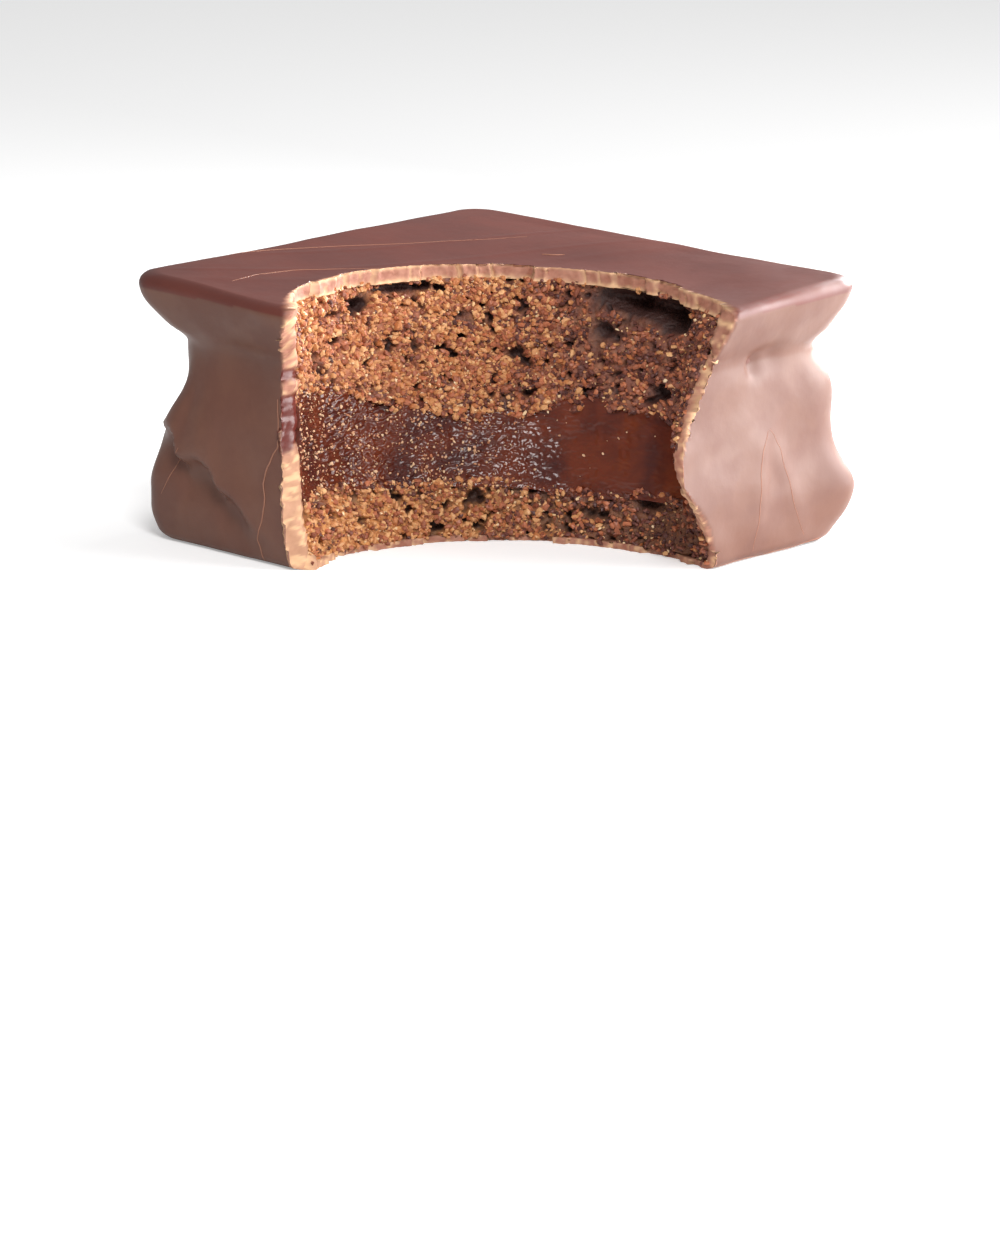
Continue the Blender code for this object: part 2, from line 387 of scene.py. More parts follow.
# %% Shape of the coating
def edge_inset(z):
    """How far the top edge and the foot are rounded in."""
    above = np.clip((z - HEIGHT + TOP_EDGE_RADIUS) / TOP_EDGE_RADIUS, 0.0, 1.0)
    below = np.clip((FOOT_RADIUS - z) / FOOT_RADIUS, 0.0, 1.0)
    inset = TOP_EDGE_RADIUS * (1.0 - np.sqrt(1.0 - above**2))
    return inset + FOOT_RADIUS * (1.0 - np.sqrt(1.0 - below**2))


def coat_place(u, v, w):
    z = HEIGHT * (w - 0.4 * np.sin(2.0 * math.pi * w) / (2.0 * math.pi))
    half, corner = side_section(z)
    x, y = rounded_square(u, v, half - edge_inset(z), corner)
    places = np.array((x, y, z)).T
    edge = np.maximum(abs(u), abs(v))
    swell = np.zeros(len(x))
    for centre, spread, height in all_lumps():
        swell += height * bell(np.linalg.norm(places - np.array(centre), axis=1), spread)
    swell += 0.38 * MM * noise_at(places, 8.0 * MM, 1) + 0.12 * MM * noise_at(places, 3.5 * MM, 2)
    swell += curtain(places) + corner_foot(places)
    swell *= edge**6
    angle = np.arctan2(y, x)
    places[:, 0] += swell * np.cos(angle)
    places[:, 1] += swell * np.sin(angle)
    away = np.hypot(places[:, 0] - BITE_TOP.x, places[:, 1] - BITE_TOP.y) - BITE_TOP_RADIUS
    rise = TOP_RISE * (1.0 - bell(np.maximum(away, 0.0), 10.0 * MM))
    places[:, 2] += rise * np.clip((places[:, 2] - 24.0 * MM) / (5.0 * MM), 0.0, 1.0)
    on_top = w > 0.999
    ripple = top_ripple(places[:, 0] / MM, places[:, 1] / MM) * MM
    places[:, 2] += np.where(on_top, ripple * np.clip((1.0 - edge) * 12.0, 0.0, 1.0), 0.0)
    return places.T


def top_ripple(x, y):
    """Height of the flow lines in the top, in millimetres: long, low and slightly bent."""
    across = 0.89 * x - 0.46 * y + 1.5 * np.sin(0.09 * (0.46 * x + 0.89 * y))
    lines = 0.06 * bell(across + 19.5, 0.5) + 0.05 * bell(across + 12.0, 0.6) + 0.04 * bell(across + 7.5, 0.9)
    sag = -0.12 * (1.0 + np.cos(0.11 * x + 0.05 * y))
    return lines + sag * 0.5 + 0.05 * np.sin(0.35 * across)


COAT_ACROSS = 150
COAT_RINGS = 84
coating = block("milk_chocolate_coating", COAT_ACROSS, COAT_RINGS, coat_place, plain_floor=True)
print("whole coating:", count(coating), "triangles")

# %% [markdown]
# ## Hollowing and biting the coating
# The inside is cut out first, as a slab with straight sides, and then the bite. The scoop leaves
# a cut face all round. Real chocolate snaps there in short blocks with cracks between them.

# %% Cut the coating
def layer_place(low, high, grow=0.0):
    """Places for a layer between two surfaces. Its side keeps under the coating's side."""

    def place(u, v, w):
        x, y = rounded_square(u, v, CRUMB_HALF, BISCUIT_CORNER)
        bottom = low(x, y)
        z = bottom + (high(x, y) - bottom) * w
        half, corner = side_section(z)
        half = np.minimum(half - SIDE_COAT, CRUMB_HALF) + grow
        x, y = rounded_square(u, v, half, corner + 1.0 * MM)
        x, y = x + CRUMB_SHIFT, y + CRUMB_SHIFT
        places = np.array((x, y, z)).T
        hollow = np.zeros(len(x))
        for centre, spread, height in all_lumps():
            if height < 0.0:
                hollow += height * bell(np.linalg.norm(places - np.array(centre), axis=1), spread)
        angle = np.arctan2(y, x)
        return x + hollow * np.cos(angle), y + hollow * np.sin(angle), z

    return place


def flat(z):
    return lambda x, y: np.full(len(x), z)


core = block("core", 40, 30, layer_place(flat(BASE_COAT), flat(ROOF)))
cut(coating, core)
bpy.data.objects.remove(core)


def bite_off(piece, low, high, fineness):
    """Cut the piece with a scoop that reaches from low to high, with faces of the given size."""
    segments = round(0.8 * math.pi * BITE_BASE_RADIUS / fineness)
    scoop = bite_tool(segments, round((high - low) / fineness), low, high)
    cut(piece, scoop)
    bpy.data.objects.remove(scoop)
    print(piece.name, "bitten:", count(piece), "triangles")


bite_off(coating, -2.0 * MM, HEIGHT + 2.0 * MM, 0.17 * MM)

# %% Snapped edge of the coating
BLOCK_WIDTH = 2.8 * MM


def crack_distance(wall, angle):
    """Distance to the nearest crack between two blocks of the snapped edge, and the block's number."""
    along = angle * BITE_TOP_RADIUS + 0.35 * MM * noise_at(wall, 1.5 * MM, 5)
    stretched = along / BLOCK_WIDTH + 0.35 * np.sin(along / MM * 0.9)
    number = np.floor(stretched)
    return np.minimum(stretched - number, 1.0 - (stretched - number)) * BLOCK_WIDTH, number


def snapped_relief(wall, angle):
    """Short blocks with cracks between them, slightly dished, with a rough face."""
    to_crack, number = crack_distance(wall, angle)
    block_depth = np.array([noise.cell(Vector((index * 3.7, 1.0, 2.0))) for index in number])
    relief = 0.5 * MM * block_depth - 0.35 * MM * bell(to_crack, 0.16 * MM)
    relief += 0.14 * MM * bell(to_crack - 0.32 * MM, 0.3 * MM)
    relief += 0.16 * MM * noise_at(wall, 0.9 * MM, 6) + 0.14 * MM * noise_at(wall, 0.4 * MM, 7)
    return relief - 0.3 * MM * bared(wall)


def broken_edge(places, on_wall):
    """How close each corner of the snapped face is to a crack or an edge, from 0 to 1."""
    depth, angle, z = depth_in_bite(places)
    to_crack, number = crack_distance(places, angle)
    ragged = 0.25 * MM * noise_at(places, 0.8 * MM, 8)
    rim = 0.8 * bell(to_crack, 0.16 * MM) + 0.9 * bell(HEIGHT - z, 0.24 * MM) + bell(z - ROOF + ragged, 0.3 * MM)
    crumbly = 0.7 * step(12.4 * MM - z, 0.5 * MM) * step(-20.0 * MM - places[:, 1], 1.0 * MM)
    outer = np.clip(noise_at(places, 0.7 * MM, 9) * 1.6, 0.0, 0.8)
    return np.where(on_wall, np.clip(rim + crumbly * (0.5 + outer) + outer * (z < ROOF), 0.0, 1.0), 0.0)


def bared(places):
    """1 where the outer skin broke away at the left end and bares a dark, wet patch, 0 elsewhere."""
    x, y, z = places.T / MM
    wobble = noise_at(places, 1.5 * MM, 10)
    patch = step(z - 12.9 - wobble, 0.12) * step(18.8 - z + wobble, 0.12)
    spot = step(z - 20.3, 0.12) * step(21.6 - z + 0.5 * wobble, 0.12)
    return np.clip(patch + spot, 0.0, 1.0) * (y < -20.0)


smooth_places = np.array([corner.co[:] for corner in coating.data.vertices])
on_wall, amount = push_wall(coating, snapped_relief)
mark(coating, "snapped", on_wall)
mark(coating, "broken_edge", broken_edge(smooth_places, on_wall))
mark(coating, "bared", bared(smooth_places) * on_wall)
# Painted shade: the top is marked here so that it gets a darker chocolate colour than the sides.
mark(coating, "top", smooth_places[:, 2] > HEIGHT - 0.9 * MM)
print("corners on the snapped edge:", int(on_wall.sum()))

# %% [markdown]
# ## The biscuits
# Baked crumb is a heap of grains of flour and sugar stuck together, with pores between them. The
# cut face gets two sizes of grain as relief: each grain stands out by its own amount, with a
# crevice around it. Pores are deeper pits. Loose grains are laid on top afterwards.

# %% Layer surfaces
FILLING_HEAPS = [(-22.0, 7.0, 3.6), (-1.0, 5.5, -1.4), (12.0, 5.0, 0.8)]
BISCUIT_HEAPS = [(-21.0, 8.0, 1.2), (9.0, 5.0, -0.9)]


def heaped(level, heaps, rough=0.0, seed=0):
    """A surface at one level, with heaps across the bite and a ragged edge."""

    def surface(x, y):
        along = (x + y) / math.sqrt(2.0) / MM
        z = level + sum(height * MM * bell(along - middle, spread) for middle, spread, height in heaps)
        places = np.array((x, y, np.zeros(len(x)))).T
        return z + rough * noise_at(places, 2.2 * MM, seed) + rough * 0.6 * noise_at(places, 0.9 * MM, seed + 1)

    return surface


# %% Crumb relief
# Larger holes in the crumb: angle in degrees, height in mm, their spreads and the depth in mm.
HOLLOWS = [
    (94.0, 26.0, 9.0, 1.1, -3.2),
    (80.0, 25.4, 7.0, 1.3, -3.6),
    (104.0, 22.6, 2.5, 0.8, -1.6),
    (172.0, 25.4, 4.0, 0.7, -1.8),
    (160.0, 26.6, 9.0, 0.5, -1.2),
    (128.0, 19.5, 2.0, 0.6, -1.3),
    (140.0, 4.4, 2.2, 0.8, -1.4),
    (113.0, 3.4, 2.0, 0.7, -1.2),
    (97.0, 5.2, 4.0, 0.8, -1.6),
    (190.0, 21.0, 2.2, 0.7, -1.2),
    (88.0, 17.0, 3.0, 1.0, -1.5),
]


def hollows_at(wall, angle):
    depth = np.zeros(len(wall))
    for turn, height, spread, rise, amount in HOLLOWS:
        away = turn_between(angle, math.radians(turn)) / math.radians(spread)
        depth += amount * bell(np.hypot(away, (wall[:, 2] / MM - height) / rise), 1.0)
    return depth


def crumb_relief(seed):
    def relief(wall, angle):
        coarse_round, coarse_number = grains_at(wall, 1.7 * MM, seed)
        fine_round, fine_number = grains_at(wall, 0.8 * MM, seed + 1)
        clumps = noise_at(wall, 3.5 * MM, seed + 2, 3)
        pores = np.clip(noise_at(wall, 1.4 * MM, seed + 3, 2) * 2.0 - 0.5, 0.0, 1.0)
        height = 0.50 * coarse_number * coarse_round + 0.22 * coarse_round
        height += 0.26 * fine_number * fine_round + 0.14 * fine_round
        height += 0.14 * noise_at(wall, 0.35 * MM, seed + 4)
        return (height + 0.45 * clumps - 1.2 * pores - 0.3 + hollows_at(wall, angle)) * MM

    return relief


def biscuit(name, low, high, cut_low, cut_high, seed, side_shade_from, side_shade_most, wet_below):
    piece = block(name, 60, 2, layer_place(low, high, 0.1 * MM))
    bite_off(piece, cut_low, cut_high, 0.135 * MM)
    on_wall, amount = push_wall(piece, crumb_relief(seed))
    depth = np.zeros(len(piece.data.vertices))
    depth[on_wall] = amount
    mark(piece, "height", depth / MM)
    places = np.array([corner.co[:] for corner in piece.data.vertices])
    # Painted shade: towards one end of the bite the cut face turns away from the lamp, and the crumb is darkened
    # there.
    side_shade = step(along_bite(places.T) + 3.0 * noise_at(places, 4.0 * MM, seed + 5) - side_shade_from, 4.0)
    mark(piece, "side_shade", side_shade_most * side_shade)
    above, below = low(places[:, 0], places[:, 1]), high(places[:, 0], places[:, 1])
    to_filling = places[:, 2] - above if wet_below else below - places[:, 2]
    mark(piece, "wet", step(0.9 * MM + 0.9 * MM * noise_at(places, 1.6 * MM, seed + 6) - to_filling, 0.25 * MM))
    return piece


overlap = 0.35 * MM
upper_floor = heaped(FILLING_TOP - overlap, FILLING_HEAPS, 0.9 * MM, 11)
lower_roof = heaped(LOWER_BISCUIT_TOP + overlap, BISCUIT_HEAPS, 0.6 * MM, 13)
upper = biscuit("upper_crumb", upper_floor, flat(ROOF + 0.1 * MM), 10.0 * MM, HEIGHT, 20, 7.0, 0.75, True)
lower = biscuit("lower_crumb", flat(BASE_COAT - 0.1 * MM), lower_roof, -1.0 * MM, 11.0 * MM, 30, 1.0, 0.9, False)

# %% [markdown]
# ## The filling
# The filling is a thick, sticky paste. Where it was torn it has small wrinkles and a broken
# shine; further along it is smooth. It is soft, so the relief has no sharp grain.

# %% Filling
def wrinkle_relief(wall, angle):
    """Fine creases that run along the bite, strong where the paste tore and faint at the smooth end."""
    torn = step(8.0 - along_bite(wall.T), 4.5)
    flat_wall = wall * (1.0, 1.0, 2.0)
    waves = 0.28 * noise_at(wall, 3.2 * MM, 41)
    creases = 0.5 - abs(noise_at(flat_wall, 1.1 * MM, 42)) ** 0.6 - abs(noise_at(flat_wall, 0.6 * MM, 43)) ** 0.7 * 0.6
    return (waves - 0.15 + creases * (0.04 + 0.32 * torn)) * MM


filling = block("soft_filling", 60, 2, layer_place(
    heaped(LOWER_BISCUIT_TOP - overlap, BISCUIT_HEAPS), heaped(FILLING_TOP + overlap, FILLING_HEAPS), 0.1 * MM))
bite_off(filling, 2.0 * MM, 21.0 * MM, 0.11 * MM)
on_wall, amount = push_wall(filling, wrinkle_relief)
depth = np.zeros(len(filling.data.vertices))
depth[on_wall] = amount
mark(filling, "height", depth / MM)

# %% [markdown]
# ## Loose grains
# On the cut face lie grains of baked dough and sugar. Each kind is one piece: many small lumps
# with a few faces each, turned and stretched by chance, half sunk into the crumb. The pale grains on
# the filling are painted highlights, small glints of the wet paste, and the mix of crumb grains
# along the bite paints light at one end and shade at the other.

# %% Scatter grains
def rough_spots(sources, deepest):
    """Corners of the rough cut faces, with their normals, that lie higher than the deepest allowed."""
    spots = []
    for source in sources:
        heights = source.data.attributes["height"].data
        for corner in source.data.vertices:
            height = heights[corner.index].value
            if height != 0.0 and height > deepest:
                spots.append((corner.co.copy(), corner.normal.copy()))
    return spots


def many_lumps(doublings):
    """One small ball, doubled again and again. The corners of each ball follow each other."""
    work = bmesh.new()
    bmesh.ops.create_icosphere(work, subdivisions=1, radius=0.5)
    for _ in range(doublings):
        bmesh.ops.duplicate(work, geom=work.verts[:] + work.edges[:] + work.faces[:])
    return work


def scatter(name, spots, doublings, smallest, largest, seed, chance):
    """Angular grains of chance size and turn, laid on the spots; chance() thins them along the bite."""
    dice = random.Random(seed)
    work = many_lumps(doublings)
    places = corners_of(work).reshape(2**doublings, -1, 3)
    tones = np.zeros(places.shape[:2])
    for index in range(len(places)):
        place, normal = dice.choice(spots)
        while dice.random() > chance(along_bite(place)):
            place, normal = dice.choice(spots)
        size = smallest + (largest - smallest) * dice.random() ** 2.0
        turn = Vector((dice.gauss(0, 1), dice.gauss(0, 1), dice.gauss(0, 1))).normalized()
        spin = np.array(Matrix.Rotation(dice.uniform(0.0, math.tau), 3, turn))
        stretch = np.array((dice.uniform(0.8, 1.5), dice.uniform(0.7, 1.1), dice.uniform(0.5, 0.9)))
        dents = np.array([1.0 + dice.uniform(-0.3, 0.3) for _ in places[index]])
        lump = places[index] * dents[:, None] * stretch * size
        places[index] = lump @ spin.T + np.array(place + normal * size * 0.12)
        tones[index] = dice.random()
    places = places.reshape(-1, 3)
    places[:, 2] = np.maximum(places[:, 2], 0.02 * MM)
    set_corners(work, places)
    piece = new_piece(name, work)
    piece.data.shade_flat()
    mark(piece, "tone", tones.ravel())
    print(name, 2**doublings, "grains,", count(piece), "triangles")
    return piece


def thinning(left, right, middle=2.0, softness=4.0):
    """A chance that changes from one value to another along the bite."""
    return lambda along: left + (right - left) * step(along - middle, softness)


spots = rough_spots([upper, lower], -0.55)
# Painted light and shade: pale grains crowd on the lit end of the bite and dark grains on the shaded end.
tan_grains = scatter("tan_grains", spots, 12, 0.22 * MM, 0.9 * MM, 1, thinning(1.0, 0.12, 4.0))
brown_grains = scatter("brown_grains", spots, 12, 0.22 * MM, 0.9 * MM, 2, thinning(0.7, 0.6))
dark_and_shade_grains = scatter("dark_and_shade_grains", spots, 11, 0.25 * MM, 0.8 * MM, 3, thinning(0.1, 1.0, 5.0, 3.0))
sugar_grains = scatter("sugar_grains", spots, 10, 0.18 * MM, 0.5 * MM, 4, thinning(1.0, 0.3))
# Painted highlights: pale grains on the filling, crowded at its torn end, stand in for the small glints of the wet
# paste.
glint_spots = rough_spots([filling], -0.25)
painted_glint_grains = scatter("painted_glint_grains", glint_spots, 10, 0.12 * MM, 0.42 * MM, 5, thinning(1.0, 0.02, -3.0, 3.0))

# %% [markdown]
# ## Fine lines in the coating
# Where chocolate flowed over chocolate that had already set, or cracked beside the bite, it
# shows a fine line. The pale threads along the top and along the foot of the end face are painted
# highlights of low ridges and of the bottom edge. Each is a thin thread laid on the surface and half
# sunk into it.

# %% Threads on the coating
LINES = [
    ("side", [(-8.2, 18.3), (-7.7, 15.1), (-7.5, 13.3), (-8.7, 11.0), (-9.2, 9.0), (-8.6, 6.8), (-9.6, 2.8), (-9.2, 0.4)], 0.10),
    ("side", [(-21.3, 11.0), (-22.8, 8.1), (-24.2, 5.3)], 0.06),
    ("end", [(14.9, 14.4), (16.6, 12.0), (17.6, 8.5), (18.6, 5.0), (20.8, 1.5)], 0.05),
    ("end", [(14.6, 14.3), (13.3, 12.0), (12.7, 8.5), (12.5, 4.7), (12.4, 1.0)], 0.05),
    # Painted highlight: a pale thread along the foot of the end face, for the shine on its bottom edge.
    ("end", [(6.3, 0.25), (10.0, 0.2), (15.0, 0.2), (20.0, 0.25), (24.0, 0.6)], 0.09),
    # Painted highlights: pale threads on the top, for the shine along its low flow ridges.
    ("top", [(-28.0, -18.0), (-27.8, -14.0), (-26.5, -9.0), (-23.5, -1.5), (-17.0, 10.0), (-12.0, 19.0)], 0.045),
    ("top", [(-18.3, -22.9), (-19.0, -18.1), (-18.2, -13.5), (-16.2, -9.5), (-12.0, -3.0)], 0.045),
    ("top", [(-5.6, 14.0), (-4.5, 14.6), (-3.6, 15.6)], 0.10),
]
SIGHT = {"side": Vector((0, 1, 0)), "end": Vector((-1, 0, 0)), "top": Vector((0, 0, -1))}


def start_place(side, first, second):
    """A place well outside the cookie, in front of the point on the given side."""
    if side == "side":
        return Vector((first, -40.0, second)) * MM
    if side == "end":
        return Vector((40.0, first, second)) * MM
    return Vector((first, second, 40.0)) * MM


def threads(name, lines, color):
    surface = BVHTree.FromObject(coating, bpy.context.evaluated_depsgraph_get())
    curve = bpy.data.curves.new(name, "CURVE")
    curve.dimensions = "3D"
    curve.bevel_depth = MM
    curve.bevel_resolution = 0
    curve.use_fill_caps = True
    for side, points, radius in lines:
        marks = np.linspace(0.0, len(points) - 1.0, 12 * len(points))
        first = np.interp(marks, range(len(points)), [point[0] for point in points])
        second = np.interp(marks, range(len(points)), [point[1] for point in points])
        found = []
        for a, b, mark_at in zip(first, second, marks):
            sway = 0.18 * noise.noise(Vector((mark_at * 1.9, radius * 90.0, 0.0)))
            hit = surface.ray_cast(start_place(side, a + sway, b + 0.5 * sway), SIGHT[side])[0]
            if hit:
                found.append(hit)
        spline = curve.splines.new("POLY")
        spline.points.add(len(found) - 1)
        for index, (point, hit) in enumerate(zip(spline.points, found)):
            point.co = (*hit, 1.0)
            point.radius = radius * (0.55 + 0.45 * math.sin(math.pi * (index + 0.5) / len(found)))
    holder = bpy.data.objects.new(name, curve)
    bpy.context.scene.collection.objects.link(holder)
    mesh = bpy.data.meshes.new_from_object(holder.evaluated_get(bpy.context.evaluated_depsgraph_get()))
    bpy.data.objects.remove(holder)
    piece = bpy.data.objects.new(name, mesh)
    bpy.context.scene.collection.objects.link(piece)
    print(name, count(piece), "triangles")
    return piece


hairlines_and_highlight_lines = threads("hairlines_and_highlight_lines", LINES, None)

# %% [markdown]
# ## Materials
# All colours are procedural and read the object's own coordinates. A small node group makes soft
# patches of two colours, and every finish uses it with its own sizes.

# %% Colour helpers
def linear(red, green, blue):
    """A screen colour from 0 to 255 as the linear colour that shaders use."""
    parts = [value / 255.0 for value in (red, green, blue)]
    return tuple(p / 12.92 if p <= 0.04045 else ((p + 0.055) / 1.055) ** 2.4 for p in parts) + (1.0,)


def add_node(tree, kind, **settings):
    node = tree.nodes.new(kind)
    for name, value in settings.items():
        if name in node.inputs:
            node.inputs[name].default_value = value
        else:
            setattr(node, name, value)
    return node


def patches_group():
    """Soft patches of two colours: inputs are the colours, the patch size and how sharp they are."""
    group = bpy.data.node_groups.new("soft_patches", "ShaderNodeTree")
    for name, kind in (("First", "NodeSocketColor"), ("Second", "NodeSocketColor"), ("Per mm", "NodeSocketFloat")):
        group.interface.new_socket(name, in_out="INPUT", socket_type=kind)
    for name in ("Low", "High"):
        group.interface.new_socket(name, in_out="INPUT", socket_type="NodeSocketFloat")
    group.interface.new_socket("Colour", in_out="OUTPUT", socket_type="NodeSocketColor")
    group.interface.new_socket("Mask", in_out="OUTPUT", socket_type="NodeSocketFloat")
    given = add_node(group, "NodeGroupInput")
    result = add_node(group, "NodeGroupOutput")
    place = add_node(group, "ShaderNodeTexCoord")
    scale = add_node(group, "ShaderNodeMath", operation="MULTIPLY")
    scale.inputs[1].default_value = 1000.0
    cloud = add_node(group, "ShaderNodeTexNoise", Detail=3.0, Roughness=0.55)
    reach = add_node(group, "ShaderNodeMapRange")
    mix = add_node(group, "ShaderNodeMix", data_type="RGBA")
    join = group.links.new
    join(given.outputs["Per mm"], scale.inputs[0])
    join(scale.outputs[0], cloud.inputs["Scale"])
    join(place.outputs["Object"], cloud.inputs["Vector"])
    join(cloud.outputs["Fac"], reach.inputs["Value"])
    join(given.outputs["Low"], reach.inputs["From Min"])
    join(given.outputs["High"], reach.inputs["From Max"])
    join(reach.outputs["Result"], mix.inputs["Factor"])
    join(given.outputs["First"], mix.inputs["A"])
    join(given.outputs["Second"], mix.inputs["B"])
    join(mix.outputs["Result"], result.inputs["Colour"])
    join(reach.outputs["Result"], result.inputs["Mask"])
    return group


SOFT_PATCHES = patches_group()


def new_material(name):
    material = bpy.data.materials.new(name)
    material.use_nodes = True
    tree = material.node_tree
    return material, tree, tree.nodes["Principled BSDF"]


def patches(tree, first, second, per_mm, low=0.35, high=0.65):
    node = tree.nodes.new("ShaderNodeGroup")
    node.node_tree = SOFT_PATCHES
    node.inputs["First"].default_value = first
    node.inputs["Second"].default_value = second
    node.inputs["Per mm"].default_value = per_mm
    node.inputs["Low"].default_value = low
    node.inputs["High"].default_value = high
    return node


def bump_from(tree, height, distance, strength=1.0):
    bump = add_node(tree, "ShaderNodeBump", Strength=strength, Distance=distance)
    tree.links.new(height, bump.inputs["Height"])
    return bump


# %% Chocolate
def blend(tree, mask, first, second):
    """A colour mix: first and second are colours or sockets."""
    mix = add_node(tree, "ShaderNodeMix", data_type="RGBA")
    tree.links.new(mask, mix.inputs["Factor"])
    for name, given in (("A", first), ("B", second)):
        if isinstance(given, tuple):
            mix.inputs[name].default_value = given
        else:
            tree.links.new(given, mix.inputs[name])
    return mix.outputs["Result"]


def value_mix(tree, mask, first, second):
    """A number mix: first is a socket or a number, second a number."""
    mix = add_node(tree, "ShaderNodeMix", data_type="FLOAT")
    tree.links.new(mask, mix.inputs["Factor"])
    if isinstance(first, float):
        mix.inputs["A"].default_value = first
    else:
        tree.links.new(first, mix.inputs["A"])
    mix.inputs["B"].default_value = second
    return mix.outputs["Result"]


def attribute(tree, name):
    return add_node(tree, "ShaderNodeAttribute", attribute_name=name).outputs["Fac"]


def chocolate():
    material, tree, shader = new_material("milk_chocolate")
    # Painted shade: the top skin is a darker, redder copy of the side chocolate, for how the top is lit.
    shaded_top_skin = patches(tree, linear(103, 47, 36), linear(93, 42, 33), 0.10)
    side_skin = patches(tree, linear(110, 70, 54), linear(105, 65, 51), 0.15, 0.42, 0.58)
    skin = blend(tree, attribute(tree, "top"), side_skin.outputs["Colour"], shaded_top_skin.outputs["Colour"])
    pale = patches(tree, linear(178, 124, 102), linear(150, 94, 74), 0.6)
    cut_face = blend(tree, attribute(tree, "broken_edge"), pale.outputs["Colour"], linear(222, 178, 136))
    cut_face = blend(tree, attribute(tree, "bared"), cut_face, linear(96, 32, 22))
    snapped = attribute(tree, "snapped")
    tree.links.new(blend(tree, snapped, skin, cut_face), shader.inputs["Base Color"])
    gloss = add_node(tree, "ShaderNodeMapRange")
    gloss.inputs["To Min"].default_value = 0.42
    gloss.inputs["To Max"].default_value = 0.52
    tree.links.new(side_skin.outputs["Mask"], gloss.inputs["Value"])
    rough = value_mix(tree, snapped, gloss.outputs["Result"], 0.75)
    tree.links.new(value_mix(tree, attribute(tree, "bared"), rough, 0.34), shader.inputs["Roughness"])
    shader.inputs["Specular IOR Level"].default_value = 0.55
    fine = add_node(tree, "ShaderNodeTexNoise", Scale=700.0, Detail=3.0)
    place = add_node(tree, "ShaderNodeTexCoord")
    tree.links.new(place.outputs["Object"], fine.inputs["Vector"])
    bump = bump_from(tree, fine.outputs["Fac"], 0.03 * MM)
    tree.links.new(bump.outputs["Normal"], shader.inputs["Normal"])
    return material


coating.data.materials.clear()
coating.data.materials.append(chocolate())


# %% Crumb
def crumb(name, light, middle, cocoa_and_side_shade, pit_shade):
    """Patches of two crumb colours, wet beside the filling, with painted shade: darker towards one end of the bite and
    dark in the pores.
    """
    material, tree, shader = new_material(name)
    body = patches(tree, light, middle, 0.8, 0.42, 0.58)
    cloud = patches(tree, (0.0, 0.0, 0.0, 1.0), (1.0, 1.0, 1.0, 1.0), 0.3, 0.54, 0.64)
    colour = blend(tree, cloud.outputs["Mask"], body.outputs["Colour"], cocoa_and_side_shade)
    # Painted shade: the crumb darkens to the cocoa colour towards one end of the bite.
    colour = blend(tree, attribute(tree, "side_shade"), colour, cocoa_and_side_shade)
    colour = blend(tree, attribute(tree, "wet"), colour, linear(104, 52, 36))
    # Painted shade: the lowest places of the relief, pores and hollows, take the dark colour.
    reach = add_node(tree, "ShaderNodeMapRange")
    reach.inputs["From Min"].default_value = -1.1
    reach.inputs["From Max"].default_value = -0.15
    tree.links.new(attribute(tree, "height"), reach.inputs["Value"])
    tree.links.new(blend(tree, reach.outputs["Result"], pit_shade, colour), shader.inputs["Base Color"])
    tree.links.new(value_mix(tree, attribute(tree, "wet"), 0.6, 0.3), shader.inputs["Roughness"])
    fine = add_node(tree, "ShaderNodeTexNoise", Scale=2200.0, Detail=4.0)
    place = add_node(tree, "ShaderNodeTexCoord")
    tree.links.new(place.outputs["Object"], fine.inputs["Vector"])
    bump = bump_from(tree, fine.outputs["Fac"], 0.3 * MM)
    tree.links.new(bump.outputs["Normal"], shader.inputs["Normal"])
    return material


upper.data.materials.clear()
upper.data.materials.append(crumb(
    "upper_crumb", linear(196, 128, 84), linear(158, 92, 62), linear(112, 68, 58), linear(58, 30, 24)))
lower.data.materials.clear()
lower.data.materials.append(crumb(
    "lower_crumb", linear(216, 150, 88), linear(178, 112, 62), linear(104, 64, 48), linear(64, 36, 24)))


# %% Grains
def grain(name, first, second):
    """Each grain has its own tone between two colours."""
    material, tree, shader = new_material(name)
    tone = add_node(tree, "ShaderNodeAttribute", attribute_name="tone")
    mix = add_node(tree, "ShaderNodeMix", data_type="RGBA")
    mix.inputs["A"].default_value = first
    mix.inputs["B"].default_value = second
    tree.links.new(tone.outputs["Fac"], mix.inputs["Factor"])
    tree.links.new(mix.outputs["Result"], shader.inputs["Base Color"])
    shader.inputs["Roughness"].default_value = 0.5
    return material


tan_grains.data.materials.append(grain("tan_grain", linear(224, 170, 116), linear(180, 108, 62)))
brown_grains.data.materials.append(grain("brown_grain", linear(188, 112, 76), linear(122, 66, 48)))
dark_and_shade_grains.data.materials.append(grain("dark_and_shade_grain", linear(116, 66, 54), linear(74, 38, 34)))
sugar_grains.data.materials.append(grain("sugar_grain", linear(240, 212, 172), linear(230, 184, 126)))
painted_glint_grains.data.materials.append(grain("painted_glint_grains", linear(236, 200, 160), linear(190, 120, 84)))
hairlines_and_highlight_lines.data.materials.append(grain("hairline_and_highlight", linear(158, 108, 86), linear(158, 108, 86)))


# %% Filling material
def filling_material():
    material, tree, shader = new_material("soft_filling")
    body = patches(tree, linear(104, 46, 28), linear(70, 30, 25), 0.22)
    tree.links.new(body.outputs["Colour"], shader.inputs["Base Color"])
    gloss = add_node(tree, "ShaderNodeMapRange")
    gloss.inputs["To Min"].default_value = 0.14
    gloss.inputs["To Max"].default_value = 0.24
    tree.links.new(body.outputs["Mask"], gloss.inputs["Value"])
    tree.links.new(gloss.outputs["Result"], shader.inputs["Roughness"])
    shader.inputs["IOR"].default_value = 1.4
    shader.inputs["Subsurface Weight"].default_value = 0.15
    shader.inputs["Subsurface Scale"].default_value = 1.5 * MM
    return material


filling.data.materials.clear()
filling.data.materials.append(filling_material())

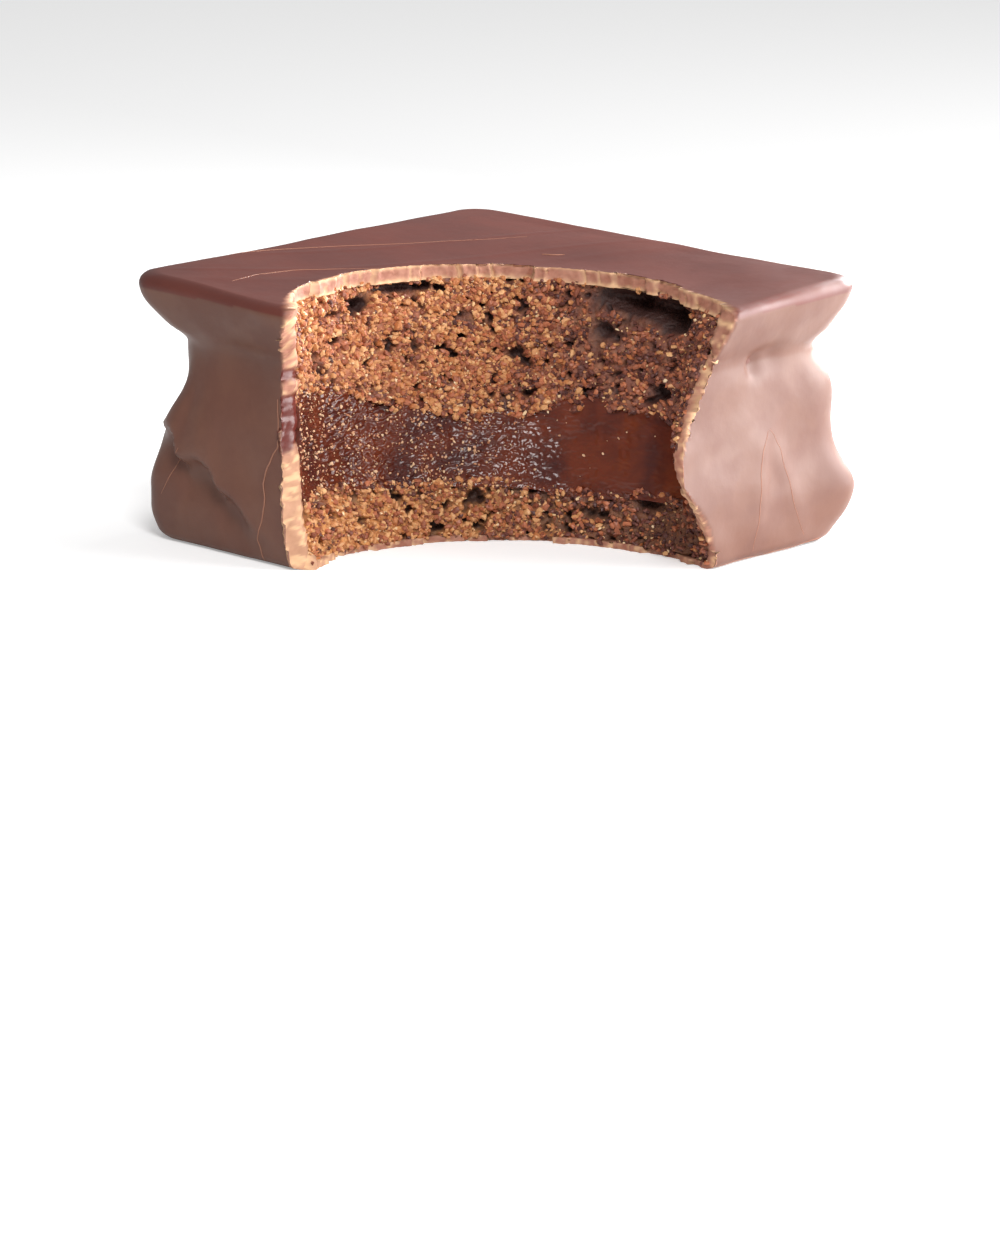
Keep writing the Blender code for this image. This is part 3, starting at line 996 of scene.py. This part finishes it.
# %% [markdown]
# ## Joining the pieces to the frame
# Every piece rides on the one body. The pieces that stand for a solid hide it.

# %% Ride and replace
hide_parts("chocolate_coating")
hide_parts("upper_biscuit")
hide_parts("lower_biscuit")
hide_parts("filling")
for piece, slot in [
    (coating, "chocolate"), (upper, "crumb"), (lower, "crumb"), (filling, "filling"),
    (tan_grains, "crumb"), (brown_grains, "crumb"), (dark_and_shade_grains, "crumb"), (sugar_grains, "crumb"),
    (painted_glint_grains, "filling"), (hairlines_and_highlight_lines, "chocolate"),
]:
    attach(piece, "root")

# %% [markdown]
# ## Floor, light and camera
# A white floor under a white sky, a large soft lamp low on the right and a weak one in front.

# %% Floor
FLOOR_GLOW = 0.3


def floor():
    work = bmesh.new()
    bmesh.ops.create_grid(work, x_segments=1, y_segments=1, size=1.5)
    bmesh.ops.translate(work, verts=work.verts[:], vec=(0.0, 0.0, -0.02 * MM))
    material, tree, shader = new_material("white_floor")
    shader.inputs["Base Color"].default_value = (0.86, 0.86, 0.86, 1.0)
    shader.inputs["Roughness"].default_value = 0.9
    shader.inputs["Emission Color"].default_value = (1.0, 1.0, 1.0, 1.0)
    seen = add_node(tree, "ShaderNodeLightPath")
    glow = add_node(tree, "ShaderNodeMapRange")
    glow.inputs["To Max"].default_value = FLOOR_GLOW
    tree.links.new(seen.outputs["Is Camera Ray"], glow.inputs["Value"])
    tree.links.new(glow.outputs["Result"], shader.inputs["Emission Strength"])
    return new_piece("floor", work, material)


floor()

# %% Sky and lamps
SKY = 0.36
world = bpy.data.worlds.new("sky")
bpy.context.scene.world = world
world.use_nodes = True
sky = world.node_tree.nodes["Background"]
sky.inputs["Color"].default_value = (1.0, 1.0, 1.0, 1.0)
seen = add_node(world.node_tree, "ShaderNodeLightPath")
level = add_node(world.node_tree, "ShaderNodeMapRange")
level.inputs["To Min"].default_value = SKY
level.inputs["To Max"].default_value = 1.0
world.node_tree.links.new(seen.outputs["Is Camera Ray"], level.inputs["Value"])
world.node_tree.links.new(level.outputs["Result"], sky.inputs["Strength"])


def soft_lamp(name, place, target, size, power):
    data = bpy.data.lights.new(name, "AREA")
    data.shape = "RECTANGLE"
    data.size = size[0]
    data.size_y = size[1]
    data.energy = power
    lamp = bpy.data.objects.new(name, data)
    lamp.location = place
    lamp.rotation_euler = (Vector(target) - Vector(place)).to_track_quat("-Z", "Y").to_euler()
    bpy.context.scene.collection.objects.link(lamp)


soft_lamp("window", (0.27, 0.22, 0.11), (0.0, 0.0, 0.015), (0.32, 0.22), 2.5)
soft_lamp("window_behind", (0.015, 0.15, 0.065), (0.015, 0.015, 0.029), (0.09, 0.05), 0.5)
soft_lamp("front_fill", (0.23, -0.20, 0.34), (0.0, 0.0, 0.015), (0.15, 0.15), 1.25)

# %% Camera
camera_data = bpy.data.cameras.new("camera")
camera_data.lens = 156.8
camera_data.shift_x = 0.002
camera_data.shift_y = -0.056
camera = bpy.data.objects.new("camera", camera_data)
camera.location = Vector((382.1, -444.1, 147.5)) * MM
aim = (Vector((6.0, -6.0, 0.0)) * MM - camera.location).to_track_quat("-Z", "Y")
camera.rotation_euler = (aim.to_matrix() @ Matrix.Rotation(math.radians(1.27), 3, "Z")).to_euler()
bpy.context.scene.collection.objects.link(camera)
bpy.context.scene.camera = camera
bpy.context.scene.view_settings.view_transform = "Standard"
